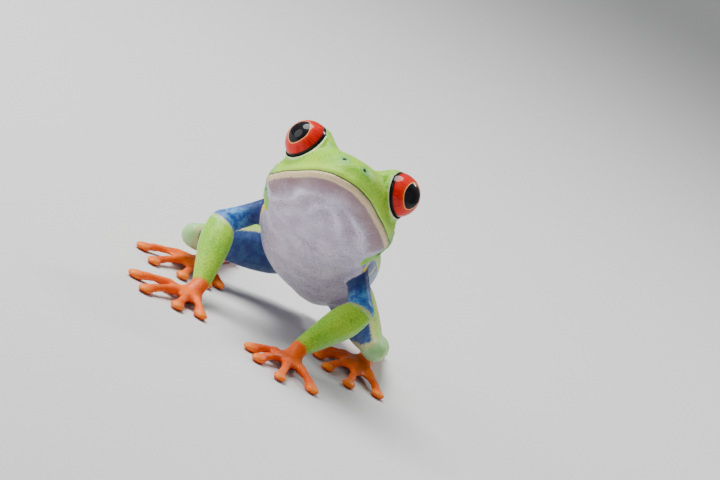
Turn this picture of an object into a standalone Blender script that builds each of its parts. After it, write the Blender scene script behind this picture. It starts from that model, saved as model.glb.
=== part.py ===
"""A life-size red-eyed tree frog, sitting up on its folded legs with its head raised.

The frog faces -Y and its left side is +X. The floor is z = 0. Lengths are millimetres in the
tables below and metres in the scene. Each piece of flesh is a closed loft of rings; lofts that
grow into each other are fused by a voxel remesh and smoothed, and thin cuts part the limbs.
"""

import bmesh
import bpy
from math import cos, pi, radians, sin
from mathutils import Euler, Matrix, Vector

MM = 0.001
GAP = 0.3  # clearance between neighbouring pieces
FLOOR_BITE = 0.12  # how far soles are sunk before the floor shaves them flat

# Driving sizes of the animal
SNOUT_TO_VENT = 60.0
HEAD_LENGTH = 17.0
EYE_RADIUS = 3.65
LID_RADIUS = 4.1
LID_SHIFT = 0.8  # how far the lid's swelling sits behind the eyeball along the gaze

# Pose of the head: the tip of the snout at the mouth line, and its turn in degrees
SNOUT_TIP = Vector((3.3, -26.0, 32.4))
HEAD_PITCH = 30.0
HEAD_YAW = 8.5

# Pitch of the back at distances behind the snout
SPINE_PITCH = ((HEAD_LENGTH, 29.0), (24.0, 25.0), (36.0, 22.0), (44.0, 26.0), (52.0, 34.0), (60.0, 30.0))

# The body: distance behind the snout, half width, height above and below the mouth line
# (on the trunk, above and below the spine's mid line), and the squareness of its section
BODY_RINGS = (
    (0.25, 1.7, 2.7, 0.5, 2.2),
    (0.9, 3.0, 3.6, 1.1, 2.3),
    (2.2, 4.5, 4.7, 1.8, 2.5),
    (4.5, 6.2, 5.7, 2.6, 2.6),
    (7.5, 8.0, 6.8, 3.4, 2.5),
    (10.5, 9.7, 7.4, 4.4, 2.4),
    (14.0, 11.0, 7.6, 5.4, 2.3),
    (17.0, 11.1, 7.4, 6.4, 2.2),
    (20.5, 10.3, 7.0, 7.2, 2.2),
    (25.0, 9.9, 6.7, 8.0, 2.2),
    (31.0, 10.4, 6.6, 8.6, 2.2),
    (38.0, 10.3, 6.5, 8.3, 2.2),
    (45.0, 8.8, 6.1, 7.3, 2.2),
    (51.0, 6.8, 5.2, 5.7, 2.1),
    (56.0, 5.0, 4.0, 3.9, 2.0),
    (59.0, 2.8, 2.4, 2.2, 2.0),
    (60.0, 1.2, 1.1, 1.0, 2.0),
)
BODY_STEPS = 46
BODY_SIDES = 36

# Places on the head, in its own frame: to the left, forward of the snout tip, above the mouth
EYE_PLACE = (8.35, -10.3, 6.0)
EYE_OPENING = (55.0, 12.0)  # the lids' opening: degrees from straight ahead, and upwards
NOSTRIL_PLACE = (1.9, -1.0, 3.45)
NOSTRIL_RADIUS = 0.32
BROW_PLACE = (5.5, -9.9, 5.6)
BROW_RADII = (2.7, 3.4, 2.6)
CHEEK_PLACE = (-1.0, -2.6, -1.5)  # measured from the lid's swelling
CHEEK_RADII = (2.9, 3.4, 3.0)
MOUTH_DROOP = 0.03  # slope of the mouth line, down to its corner

# Limbs: joints of the left and right side, in the order of the bones
ARM_JOINTS = {
    "left": ((6.0, -2.0, 20.4), (13.4, -7.4, 11.8), (8.8, -15.4, 3.2)),
    "right": ((-6.4, -2.0, 20.4), (-14.2, -5.0, 12.0), (-10.8, -13.2, 3.2)),
}
LEG_JOINTS = {
    "left": ((4.4, 21.0, 9.2), (17.3, 0.6, 6.15), (14.2, 28.2, 1.75), (15.4, 12.0, 1.3)),
    "right": ((-4.4, 21.0, 9.2), (-18.6, 2.2, 6.4), (-16.4, 29.8, 1.75), (-16.8, 13.6, 1.3)),
}
# Radii along each bone: share of its length, half width, half height
UPPER_ARM = ((0.0, 2.3, 2.4), (0.4, 1.8, 1.9), (0.8, 1.9, 2.0), (1.0, 2.3, 2.3))
FOREARM = ((0.0, 2.3, 2.3), (0.28, 2.8, 2.9), (0.7, 2.1, 2.2), (1.0, 1.5, 1.5))
THIGH = ((0.0, 3.2, 3.6), (0.3, 3.4, 4.3), (0.65, 2.8, 3.5), (0.9, 2.15, 2.3), (1.0, 2.1, 2.1))
SHANK = ((0.0, 2.1, 2.1), (0.3, 2.35, 2.4), (0.65, 1.9, 2.0), (0.9, 1.45, 1.5), (1.0, 1.6, 1.6))
TARSUS = ((0.0, 1.8, 1.8), (0.3, 1.45, 1.5), (0.8, 1.5, 1.4), (1.0, 1.6, 1.35))

# Swellings of the trunk round the shoulders and the hips
SHOULDER_SHIFT = Vector((0.0, 1.2, 0.4))
SHOULDER_RADII = (3.6, 4.6, 3.8)
HIP_SHIFT = Vector((0.0, -2.6, 0.3))
HIP_RADII = (3.1, 4.6, 3.2)

# Digits: bearing in degrees (0 forward, positive outwards) and length, on either side; each
# hand or foot adds its own turn, outwards
HAND_TURN = {"left": -6.0, "right": 8.0}
FOOT_TURN = {"left": 0.0, "right": 6.0}
FINGERS = ((-42.0, 8.4), (-13.0, 10.4), (14.0, 13.2), (46.0, 11.0))
TOES = ((-48.0, 8.6), (-28.0, 12.0), (-9.0, 15.6), (8.0, 18.2), (29.0, 14.8))
HAND_PALM = (2.5, 2.9, 1.25)  # half width, half length, half thickness
HAND_REACH = 2.6  # from the wrist to the middle of the palm
FOOT_PALM = (2.3, 2.6, 1.15)
FOOT_REACH = 2.2
WRIST_LEAN = Vector((0, -0.4, -0.2))  # tips the cut at the wrist from square to the forearm
FINGER_RADIUS = 0.82
TOE_RADIUS = 0.76
FINGER_DISC = (1.35, 1.75, 0.76)  # half width, half length, half thickness
TOE_DISC = (1.3, 1.7, 0.74)
FINGER_WEB = 0.45  # share of the digits' length that the web reaches
TOE_WEB = 0.78
WEB_HOLLOW = 0.3  # how deep the web's free edge is cut in
WEB_THICKNESS = 0.6
DIGIT_ARCH = 0.55  # how far a digit's knuckles rise above its ends

# Fusing: size of the fused skin's cells, rounds of smoothing, and the triangles it is brought down to
BODY_GRAIN, BODY_ROUNDING = 0.55, 5
PAW_GRAIN, PAW_ROUNDING = 0.28, 2
BODY_FACES = 2340
HAND_FACES = 620
FOOT_FACES = 800

COLOURS = {
    "skin_green": ((0.24, 0.56, 0.06), 0.45),
    "skin_pale": ((0.78, 0.74, 0.78), 0.5),
    "skin_blue": ((0.07, 0.16, 0.5), 0.45),
    "skin_orange": ((0.95, 0.22, 0.02), 0.4),
    "eye_red": ((0.72, 0.03, 0.01), 0.08),
}


# ---------------------------------------------------------------- shapes
def smooth_value(table, column, at):
    """A column of the table at this distance, by cubic curves through its rows."""
    if at <= table[0][0]:
        return table[0][column]
    if at >= table[-1][0]:
        return table[-1][column]
    i = max(k for k, row in enumerate(table) if row[0] <= at)

    def slope(k):
        low, high = max(k - 1, 0), min(k + 1, len(table) - 1)
        return (table[high][column] - table[low][column]) / (table[high][0] - table[low][0])

    span = table[i + 1][0] - table[i][0]
    t = (at - table[i][0]) / span
    ease_in, ease_out = t * (1 - t) ** 2, t * t * (1 - t)
    start, end = table[i][column], table[i + 1][column]
    blend = t * t * (3 - 2 * t)
    return start + (end - start) * blend + span * (slope(i) * ease_in - slope(i + 1) * ease_out)


def power(value, exponent):
    return (1 if value >= 0 else -1) * abs(value) ** exponent


def oval(centre, side, up, half_width, above, below, squareness, count):
    """A ring of points: a rounded box, whose upper and lower halves have their own heights."""
    ring = []
    for k in range(count):
        turn = 2 * pi * k / count
        across = half_width * power(cos(turn), 2 / squareness)
        height = (above if sin(turn) > 0 else below) * power(sin(turn), 2 / squareness)
        ring.append(centre + side * across + up * height)
    return ring


def mesh_object(name, rings, start=None, end=None):
    """A closed skin over the rings, drawn to a point at each end."""
    bm = bmesh.new()
    loops = [[bm.verts.new(point * MM) for point in ring] for ring in rings]
    count = len(loops[0])
    for low, high in zip(loops, loops[1:]):
        for k in range(count):
            nxt = (k + 1) % count
            bm.faces.new((low[k], low[nxt], high[nxt], high[k]))
    for loop, tip in ((loops[0], start), (loops[-1], end)):
        middle = sum((v.co for v in loop), Vector()) / count if tip is None else tip * MM
        pole = bm.verts.new(middle)
        for k in range(count):
            bm.faces.new((loop[(k + 1) % count], loop[k], pole))
    bmesh.ops.recalc_face_normals(bm, faces=bm.faces)
    return object_from(name, bm)


def object_from(name, bm):
    mesh = bpy.data.meshes.new(name)
    bm.to_mesh(mesh)
    bm.free()
    obj = bpy.data.objects.new(name, mesh)
    bpy.context.scene.collection.objects.link(obj)
    return obj


def ellipsoid(name, centre, radii, turn=Matrix.Identity(3), segments=20, rings=12):
    bm = bmesh.new()
    bmesh.ops.create_uvsphere(bm, u_segments=segments, v_segments=rings, radius=1.0)
    scale = Matrix.Diagonal(Vector((*radii, 1.0 / MM)) * MM)
    shape = Matrix.Translation(centre * MM) @ turn.to_4x4() @ scale
    bmesh.ops.transform(bm, matrix=shape, verts=bm.verts)
    return object_from(name, bm)


def bone(name, start, end, table, up=Vector((0, 0, 1)), sides=12, steps=8):
    """Flesh round a straight bone, with a ball at each end for the joint."""
    along = (end - start).normalized()
    side = along.cross(up).normalized()
    lift = side.cross(along)
    length = (end - start).length
    rings = []
    ball_steps = 3
    first, last = table[0], table[-1]
    for k in range(1, ball_steps):
        turn = pi / 2 * k / ball_steps
        centre = start - along * first[1] * cos(turn)
        rings.append(oval(centre, side, lift, first[1] * sin(turn), first[2] * sin(turn),
                          first[2] * sin(turn), 2.0, sides))
    for k in range(steps + 1):
        share = k / steps
        wide, high = smooth_value(table, 1, share), smooth_value(table, 2, share)
        rings.append(oval(start + along * length * share, side, lift, wide, high, high, 2.0, sides))
    for k in range(ball_steps - 1, 0, -1):
        turn = pi / 2 * k / ball_steps
        centre = end + along * last[1] * cos(turn)
        rings.append(oval(centre, side, lift, last[1] * sin(turn), last[2] * sin(turn),
                          last[2] * sin(turn), 2.0, sides))
    return mesh_object(name, rings, start - along * first[1], end + along * last[1])


# ---------------------------------------------------------------- tools
def settle(obj):
    """The object keeps its evaluated mesh, and its modifiers go."""
    graph = bpy.context.evaluated_depsgraph_get()
    mesh = bpy.data.meshes.new_from_object(obj.evaluated_get(graph), depsgraph=graph)
    obj.modifiers.clear()
    obj.data = mesh
    return obj


def joined(name, pieces):
    """The pieces' meshes in one object, still overlapping."""
    bm = bmesh.new()
    for piece in pieces:
        bm.from_mesh(piece.data)
        bpy.data.objects.remove(piece)
    return object_from(name, bm)


def fused(obj, voxel, smoothing, triangles):
    """Overlapping shapes made one skin, rounded, and brought down to a number of triangles."""
    remesh = obj.modifiers.new("skin", "REMESH")
    remesh.mode = "VOXEL"
    remesh.voxel_size = voxel * MM
    settle(obj)
    smooth = obj.modifiers.new("round", "SMOOTH")
    smooth.factor = 0.5
    smooth.iterations = smoothing
    facets = obj.modifiers.new("facets", "TRIANGULATE")
    facets.quad_method = "BEAUTY"
    settle(obj)
    thin = obj.modifiers.new("thin", "DECIMATE")
    thin.ratio = triangles / len(obj.data.polygons)
    return settle(obj)


def swollen(obj, by):
    """A copy whose surface lies this much further out."""
    copy = bpy.data.objects.new(obj.name + "_swollen", obj.data.copy())
    bpy.context.scene.collection.objects.link(copy)
    bm = bmesh.new()
    bm.from_mesh(copy.data)
    bm.normal_update()
    for vert in bm.verts:
        vert.co += vert.normal * by * MM
    bm.to_mesh(copy.data)
    bm.free()
    return copy


def carve(obj, cutter):
    """Takes the cutter's shape out of the object."""
    cut = obj.modifiers.new("cut", "BOOLEAN")
    cut.operation = "DIFFERENCE"
    cut.solver = "EXACT"
    cut.object = cutter
    return settle(obj)


def keep_side(obj, point, normal, clearance=GAP / 2):
    """Cuts the object by a plane and keeps the side that the normal points to."""
    normal = normal.normalized()
    bm = bmesh.new()
    bm.from_mesh(obj.data)
    geometry = bm.verts[:] + bm.edges[:] + bm.faces[:]
    bmesh.ops.bisect_plane(
        bm, geom=geometry, dist=1e-7, plane_co=(point + normal * clearance) * MM,
        plane_no=normal, clear_inner=True,
    )
    rim = [edge for edge in bm.edges if edge.is_boundary]
    bmesh.ops.holes_fill(bm, edges=rim, sides=0)
    bmesh.ops.triangulate(bm, faces=[face for face in bm.faces if len(face.verts) > 4])
    bmesh.ops.recalc_face_normals(bm, faces=bm.faces)
    bm.to_mesh(obj.data)
    bm.free()
    return obj


def duplicate(obj, name):
    copy = bpy.data.objects.new(name, obj.data.copy())
    bpy.context.scene.collection.objects.link(copy)
    return copy


def drop(*helpers):
    for helper in helpers:
        bpy.data.objects.remove(helper)


def paint(obj, slot):
    colour, roughness = COLOURS[slot]
    material = bpy.data.materials.get(slot)
    if material is None:
        material = bpy.data.materials.new(slot)
        material.use_nodes = True
        shader = material.node_tree.nodes["Principled BSDF"]
        shader.inputs["Base Color"].default_value = (*colour, 1.0)
        shader.inputs["Roughness"].default_value = roughness
        shader.inputs["Metallic"].default_value = 0.0
    obj.data.materials.clear()
    obj.data.materials.append(material)
    obj.data.shade_smooth()
    return obj


# ---------------------------------------------------------------- head and trunk
HEAD_TURN = Euler((-radians(HEAD_PITCH), 0.0, radians(HEAD_YAW))).to_matrix()
LEFTWARD = HEAD_TURN @ Vector((1, 0, 0))
FORWARD = HEAD_TURN @ Vector((0, -1, 0))
UPWARD = HEAD_TURN @ Vector((0, 0, 1))


def on_head(left, forward, up):
    return SNOUT_TIP + LEFTWARD * left + FORWARD * forward + UPWARD * up


def head_side(place, sign):
    return on_head(place[0] * sign, place[1], place[2])


def gaze(sign):
    """The way an eye's opening faces."""
    ahead, lift = (radians(value) for value in EYE_OPENING)
    return (
        LEFTWARD * sin(ahead) * cos(lift) * sign + FORWARD * cos(ahead) * cos(lift) + UPWARD * sin(lift)
    )


def spine():
    """Frames from the snout to the vent: distance, mid point, left, up."""
    frames = []
    place = SNOUT_TIP.copy()
    step = SNOUT_TO_VENT / 240
    distance = 0.0
    while distance <= SNOUT_TO_VENT + step / 2:
        pitch = radians(smooth_value(SPINE_PITCH, 1, distance))
        trunk_share = min(max((distance - HEAD_LENGTH) / 10.0, 0.0), 1.0)
        straight_back = Vector((0, cos(pitch), -sin(pitch)))
        back = (-FORWARD).lerp(straight_back, trunk_share).normalized()
        left = LEFTWARD.lerp(Vector((1, 0, 0)), trunk_share)
        left = (left - back * left.dot(back)).normalized()
        frames.append((distance, place.copy(), left, left.cross(-back) * -1))
        place += back * step
        distance += step
    return frames


def body_loft():
    frames = spine()
    rings = []
    first, last = BODY_RINGS[0][0], BODY_RINGS[-1][0]
    for k in range(BODY_STEPS + 1):
        # closer rings near the blunt snout
        distance = first + (last - first) * (k / BODY_STEPS) ** 1.25
        _, centre, left, up = min(frames, key=lambda frame: abs(frame[0] - distance))
        wide, above, below, square = (smooth_value(BODY_RINGS, c, distance) for c in (1, 2, 3, 4))
        rings.append(oval(centre, left, up, wide, above, below, square, BODY_SIDES))
    return mesh_object("body", rings)


def build_head_and_trunk():
    """The head, lower jaw and trunk as one skin with the lids' swellings, then parted."""
    parts = [body_loft()]
    for side, sign in (("left", 1), ("right", -1)):
        eye = head_side(EYE_PLACE, sign)
        lid = eye - gaze(sign) * LID_SHIFT
        parts.append(ellipsoid("lid", lid, (LID_RADIUS, LID_RADIUS, LID_RADIUS)))
        cheek = lid + LEFTWARD * CHEEK_PLACE[0] * sign + FORWARD * CHEEK_PLACE[1] + UPWARD * CHEEK_PLACE[2]
        parts.append(ellipsoid("cheek", cheek, CHEEK_RADII))
        parts.append(ellipsoid("brow", head_side(BROW_PLACE, sign), BROW_RADII, HEAD_TURN))
        parts.append(ellipsoid("shoulder", Vector(ARM_JOINTS[side][0]) + SHOULDER_SHIFT, SHOULDER_RADII))
        parts.append(ellipsoid("hip", Vector(LEG_JOINTS[side][0]) + HIP_SHIFT, HIP_RADII))
    body = fused(joined("body", parts), BODY_GRAIN, BODY_ROUNDING, BODY_FACES)
    whole = swollen(body, GAP)

    for sign in (1, -1):
        socket = ellipsoid("socket", head_side(EYE_PLACE, sign), (EYE_RADIUS + GAP,) * 3, HEAD_TURN, 16, 11)
        nostril = ellipsoid("nostril", head_side(NOSTRIL_PLACE, sign), (NOSTRIL_RADIUS,) * 3, HEAD_TURN, 8, 6)
        for cutter in (socket, nostril):
            carve(body, cutter)
        drop(socket, nostril)

    neck = on_head(0, -HEAD_LENGTH, 0)
    mouth_normal = (UPWARD + FORWARD * -MOUTH_DROOP).normalized()
    head, jaw, trunk = (duplicate(body, name) for name in ("head", "lower_jaw", "trunk"))
    keep_side(trunk, neck, -FORWARD)
    for piece in (head, jaw):
        keep_side(piece, neck, FORWARD)
    keep_side(head, SNOUT_TIP, mouth_normal)
    keep_side(jaw, SNOUT_TIP, -mouth_normal)
    drop(body)
    paint(head, "skin_green")
    paint(jaw, "skin_pale")
    paint(trunk, "skin_green")
    return whole


def build_eyes():
    for side, sign in (("left", 1), ("right", -1)):
        eye = ellipsoid("eye_" + side, head_side(EYE_PLACE, sign), (EYE_RADIUS,) * 3, HEAD_TURN, 16, 11)
        paint(eye, "eye_red")


# ---------------------------------------------------------------- limbs
def mitre(before, joint, after):
    """The plane through a joint that halves its bend."""
    return ((joint - before).normalized() + (after - joint).normalized()).normalized()


def digit_path(base, bearing, length, reach_height):
    """Points along a digit on the floor: it leaves the palm, arches over and lies on its disc."""
    ahead = Vector((sin(radians(bearing)), -cos(radians(bearing)), 0))
    points = []
    for k in range(9):
        share = k / 8
        height = base.z * (1 - share) + reach_height * share + DIGIT_ARCH * sin(pi * share)
        points.append(Vector((base.x, base.y, height)) + ahead * length * share)
    return points


def digit(base, bearing, length, radius, disc):
    """A digit with swollen joints, ending in a round disc."""
    thickness = disc[2] - FLOOR_BITE
    points = digit_path(base, bearing, length, thickness)
    ahead = Vector((sin(radians(bearing)), -cos(radians(bearing)), 0))
    side = ahead.cross(Vector((0, 0, 1)))
    up = Vector((0, 0, 1))
    rings = []
    last = len(points) - 1
    for k, point in enumerate(points):
        share = k / last
        swell = 1 + 0.13 * cos(share * 5 * pi)
        size = radius * (1.12 - 0.3 * share) * swell
        rings.append(oval(point, side, up, size, size, size, 2.0, 10))
    finger = mesh_object("digit", rings)
    tip = points[-1] - ahead * disc[1] * 0.55
    turn = Matrix((side, ahead, up)).transposed()
    pad = ellipsoid("pad", tip, disc, turn, 14, 8)
    return finger, pad, points


def web(first, second, reach):
    """A thin sheet between two digits, with a hollow free edge."""
    steps_across, steps_out = 6, 6
    half = WEB_THICKNESS / 2

    def along(path, share):
        place = share * (len(path) - 1)
        k = min(int(place), len(path) - 2)
        return path[k].lerp(path[k + 1], place - k)

    sheets = []
    for side in (1, -1):
        rows = []
        for i in range(steps_across + 1):
            across = i / steps_across
            edge = reach * (1 - WEB_HOLLOW * sin(pi * across))
            row = []
            for k in range(steps_out + 1):
                share = edge * k / steps_out
                point = along(first, share).lerp(along(second, share), across)
                row.append(point + Vector((0, 0, side * half - 0.1)))
            rows.append(row)
        sheets.append(rows)
    bm = bmesh.new()
    grids = [[[bm.verts.new(p * MM) for p in row] for row in rows] for rows in sheets]
    top, bottom = grids
    for grid in grids:
        for i in range(steps_across):
            for k in range(steps_out):
                bm.faces.new((grid[i][k], grid[i + 1][k], grid[i + 1][k + 1], grid[i][k + 1]))
    for i in range(steps_across):
        bm.faces.new((top[i][0], top[i + 1][0], bottom[i + 1][0], bottom[i][0]))
        bm.faces.new((top[i][-1], bottom[i][-1], bottom[i + 1][-1], top[i + 1][-1]))
    for k in range(steps_out):
        bm.faces.new((top[0][k], top[0][k + 1], bottom[0][k + 1], bottom[0][k]))
        bm.faces.new((top[-1][k], bottom[-1][k], bottom[-1][k + 1], top[-1][k + 1]))
    bmesh.ops.recalc_face_normals(bm, faces=bm.faces)
    return object_from("web", bm)


def build_paw(name, sign, wrist, palm_shift, palm_size, digits, turn, radius, disc, web_reach, triangles):
    """A hand or foot: the palm, its digits and the webs between them, shaved flat at the floor."""
    heading = sum(bearing for bearing, _ in digits) / len(digits) * sign + turn
    ahead = Vector((sin(radians(heading)), -cos(radians(heading)), 0))
    palm = Vector((wrist.x, wrist.y, palm_size[2] - FLOOR_BITE)) + ahead * palm_shift
    side = ahead.cross(Vector((0, 0, 1)))
    facing = Matrix((side, ahead, Vector((0, 0, 1)))).transposed()
    pieces = [
        ellipsoid("palm", palm, palm_size, facing, 18, 10),
        bone("wrist", wrist, palm, ((0, FOREARM[-1][1], FOREARM[-1][2]), (1, 1.5, 1.2)), sides=12, steps=4),
    ]
    paths = []
    root = palm - ahead * palm_size[1] * 0.15
    for bearing, length in digits:
        finger, pad, path = digit(root, bearing * sign + turn, length, radius, disc)
        pieces += [finger, pad]
        paths.append(path)
    for first, second in zip(paths, paths[1:]):
        pieces.append(web(first, second, web_reach))
    paw = fused(joined(name, pieces), PAW_GRAIN, PAW_ROUNDING, triangles)
    return keep_side(paw, Vector((0, 0, 0)), Vector((0, 0, 1)), 0.0)


def build_arm(side, body):
    sign = 1 if side == "left" else -1
    shoulder, elbow, wrist = (Vector(place) for place in ARM_JOINTS[side])
    upper = bone("upper_arm_" + side, shoulder, elbow, UPPER_ARM)
    fore = bone("forearm_" + side, elbow, wrist, FOREARM)
    bend = mitre(shoulder, elbow, wrist)
    keep_side(upper, elbow, -bend)
    keep_side(fore, elbow, bend)
    carve(upper, body)
    paw = build_paw(
        "hand_" + side, sign, wrist, HAND_REACH, HAND_PALM, FINGERS, HAND_TURN[side] * sign,
        FINGER_RADIUS, FINGER_DISC, FINGER_WEB, HAND_FACES,
    )
    slope = (wrist - elbow).normalized()
    wrist_cut = (slope + WRIST_LEAN).normalized()
    keep_side(fore, wrist, -wrist_cut)
    keep_side(paw, wrist, wrist_cut)
    paint(upper, "skin_blue")
    paint(fore, "skin_green")
    paint(paw, "skin_orange")


def build_leg(side, body):
    sign = 1 if side == "left" else -1
    hip, knee, ankle, instep = (Vector(place) for place in LEG_JOINTS[side])
    thigh = bone("thigh_" + side, hip, knee, THIGH)
    shank = bone("shank_" + side, knee, ankle, SHANK)
    tarsus = bone("tarsus_" + side, ankle, instep, TARSUS, steps=8)
    for upper, lower, before, joint, after in (
        (thigh, shank, hip, knee, ankle), (shank, tarsus, knee, ankle, instep),
    ):
        bend = mitre(before, joint, after)
        keep_side(upper, joint, -bend)
        keep_side(lower, joint, bend)
    carve(thigh, body)
    paw = build_paw(
        "foot_" + side, sign, instep, FOOT_REACH, FOOT_PALM, TOES, FOOT_TURN[side] * sign,
        TOE_RADIUS, TOE_DISC, TOE_WEB, FOOT_FACES,
    )
    heading = (instep - ankle).normalized()
    keep_side(tarsus, instep, -heading)
    keep_side(paw, instep, heading)
    for piece in (shank, tarsus):
        keep_side(piece, Vector((0, 0, 0)), Vector((0, 0, 1)), 0.0)
    paint(thigh, "skin_blue")
    paint(shank, "skin_green")
    paint(tarsus, "skin_orange")
    paint(paw, "skin_orange")


def centre_on_floor():
    """Moves everything so that the origin is under the middle of the frog's outline."""
    bpy.context.view_layer.update()
    corners = [v.co for obj in bpy.context.scene.objects for v in obj.data.vertices]
    middle = [(min(c[k] for c in corners) + max(c[k] for c in corners)) / 2 for k in (0, 1)]
    for obj in bpy.context.scene.objects:
        obj.data.transform(Matrix.Translation((-middle[0], -middle[1], 0)))


def main():
    for obj in list(bpy.data.objects):
        bpy.data.objects.remove(obj)
    body = build_head_and_trunk()
    build_eyes()
    for side in ("left", "right"):
        build_arm(side, body)
        build_leg(side, body)
    drop(body)
    centre_on_floor()


main()
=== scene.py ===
from math import cos, pi, radians, sin

import bmesh
import bpy
import numpy as np
from mathutils import Matrix, Vector
from mathutils.bvhtree import BVHTree
from mathutils.kdtree import KDTree


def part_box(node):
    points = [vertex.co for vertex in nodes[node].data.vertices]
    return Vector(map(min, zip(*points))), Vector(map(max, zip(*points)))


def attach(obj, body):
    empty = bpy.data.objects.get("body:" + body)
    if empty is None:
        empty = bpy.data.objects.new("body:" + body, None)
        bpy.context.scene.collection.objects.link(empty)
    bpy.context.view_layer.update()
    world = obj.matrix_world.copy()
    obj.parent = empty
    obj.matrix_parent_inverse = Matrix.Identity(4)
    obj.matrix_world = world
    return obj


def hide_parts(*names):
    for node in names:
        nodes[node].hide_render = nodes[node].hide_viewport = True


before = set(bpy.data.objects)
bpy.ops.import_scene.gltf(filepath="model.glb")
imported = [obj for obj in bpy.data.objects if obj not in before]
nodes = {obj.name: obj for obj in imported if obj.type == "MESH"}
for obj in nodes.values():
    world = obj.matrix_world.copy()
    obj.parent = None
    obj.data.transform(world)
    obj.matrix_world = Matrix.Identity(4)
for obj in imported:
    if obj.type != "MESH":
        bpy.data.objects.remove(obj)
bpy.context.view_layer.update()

mm = 0.001
fleshNames = sorted(name for name in nodes if not name.startswith("eye_"))
sides = ("left", "right")


def middleOf(name):
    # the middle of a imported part
    low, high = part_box(name)
    return (Vector(low) + Vector(high)) / 2


pose = {
    "headPitch": 30.0,  # degrees the face is raised
    "eyeForward": -10.3,  # the eyes, measured from the tip of the snout, in mm
    "eyeUp": 6.0,
    "mouthDroop": 0.03,  # slope of the mouth line towards its corner
    "mouthCorner": -15.4,  # where the mouth line ends
    "gazeAhead": 55.0,  # the lids' opening: degrees from straight ahead
    "gazeUp": 12.0,
}

eyeAt = {side: middleOf("eye_" + side) for side in sides}
eyeRadius = max((v.co - eyeAt["left"]).length for v in nodes["eye_left"].data.vertices)
betweenEyes = (eyeAt["left"] + eyeAt["right"]) / 2
headLeft = (eyeAt["left"] - eyeAt["right"]).normalized()
levelAhead = headLeft.cross(Vector((0, 0, 1))).normalized()
pitch = radians(pose["headPitch"])
headAhead = levelAhead * cos(pitch) + Vector((0, 0, 1)) * sin(pitch)
headUp = headAhead.cross(headLeft)
snout = betweenEyes - (headAhead * pose["eyeForward"] + headUp * pose["eyeUp"]) * mm


def onHead(left, ahead, up):
    return snout + (headLeft * left + headAhead * ahead + headUp * up) * mm


def headPlace(points):
    # outwards to the left, ahead and up from the tip of the snout, in mm
    axes = np.array([tuple(headLeft), tuple(headAhead), tuple(headUp)]).T
    return ((points - np.array(snout)) @ axes) / mm


def aboveMouth(ahead, up):
    # height above the mouth line, in mm
    return up - pose["mouthDroop"] * ahead


def gazeOf(side, ahead=pose["gazeAhead"], lift=pose["gazeUp"]):
    sign = 1 if side == "left" else -1
    ahead, lift = radians(ahead), radians(lift)
    outward = headLeft * sin(ahead) * cos(lift) * sign
    return outward + headAhead * cos(ahead) * cos(lift) + headUp * sin(lift)


def eyeAxes(side):
    # along the gaze, towards the top of the head and across both
    gaze = gazeOf(side)
    top = (headUp - gaze * headUp.dot(gaze)).normalized()
    return gaze, top, gaze.cross(top)


def ease(low, high, value):
    # 0 at the low end, 1 at the high end and smooth between them
    t = np.clip((value - low) / (high - low), 0, 1)
    return t * t * (3 - 2 * t)


def relief(distance, waves):
    # ridges and grooves side by side, from each one's height, place and half width, in mm
    return sum(height * np.exp(-(((distance - place) / width) ** 2)) for height, place, width in waves)


def lengthsOf(vectors):
    return np.linalg.norm(vectors, axis=1)


def pointsOf(mesh):
    flat = np.empty(len(mesh.vertices) * 3)
    mesh.vertices.foreach_get("co", flat)
    return flat.reshape(-1, 3)


def normalsOf(mesh):
    flat = np.empty(len(mesh.vertices) * 3, np.float32)
    mesh.vertex_normals.foreach_get("vector", flat)
    return flat.reshape(-1, 3).astype(float)


def setPoints(mesh, points):
    mesh.vertices.foreach_set("co", points.astype(np.float32).ravel())
    mesh.update()


def pushSkin(mesh, push):
    # moves each point along its normal, in mm
    setPoints(mesh, pointsOf(mesh) + normalsOf(mesh) * (push * mm)[:, None])


def edgesOf(mesh):
    flat = np.empty(len(mesh.edges) * 2, np.int32)
    mesh.edges.foreach_get("vertices", flat)
    return flat.reshape(-1, 2)


def meanOfNeighbours(points, edges):
    a, b = edges[:, 0], edges[:, 1]
    many = len(points)
    count = np.bincount(a, minlength=many) + np.bincount(b, minlength=many)
    total = [np.bincount(a, row[b], many) + np.bincount(b, row[a], many) for row in points.T]
    return np.array(total).T / np.maximum(count, 1)[:, None]


def relax(points, edges, rounds, weight=None, forward=0.5, back=-0.53):
    # smooths without shrinking: each round moves in towards the neighbours and then out again
    for _ in range(rounds):
        for step in (forward, back):
            move = (meanOfNeighbours(points, edges) - points) * step
            points = points + (move if weight is None else move * weight[:, None])
    return points


def spread(values, edges, rounds):
    # averages a number over neighbouring points
    a, b = edges[:, 0], edges[:, 1]
    count = np.bincount(a, minlength=len(values)) + np.bincount(b, minlength=len(values))
    for _ in range(rounds):
        total = np.bincount(a, values[b], len(values)) + np.bincount(b, values[a], len(values))
        values = (values + total) / (count + 1)
    return values


def addNumber(mesh, name, values):
    layer = mesh.attributes.new(name, "FLOAT", "POINT")
    layer.data.foreach_set("value", np.asarray(values, np.float32))


def newObject(name, data):
    obj = bpy.data.objects.new(name, data)
    bpy.context.scene.collection.objects.link(obj)
    return obj


def openMeshes(*meshes):
    bm = bmesh.new()
    for mesh in meshes:
        bm.from_mesh(mesh)
    return bm


def meshFrom(name, bm):
    mesh = bpy.data.meshes.new(name)
    bm.to_mesh(mesh)
    bm.free()
    return mesh


def evaluated(obj):
    graph = bpy.context.evaluated_depsgraph_get()
    mesh = bpy.data.meshes.new_from_object(obj.evaluated_get(graph), depsgraph=graph)
    obj.modifiers.clear()
    obj.data = mesh
    return mesh


def treeOf(*names):
    # for distances to the surface of these parts
    bm = openMeshes(*(nodes[name].data for name in names))
    tree = BVHTree.FromBMesh(bm)
    bm.free()
    return tree


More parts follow.
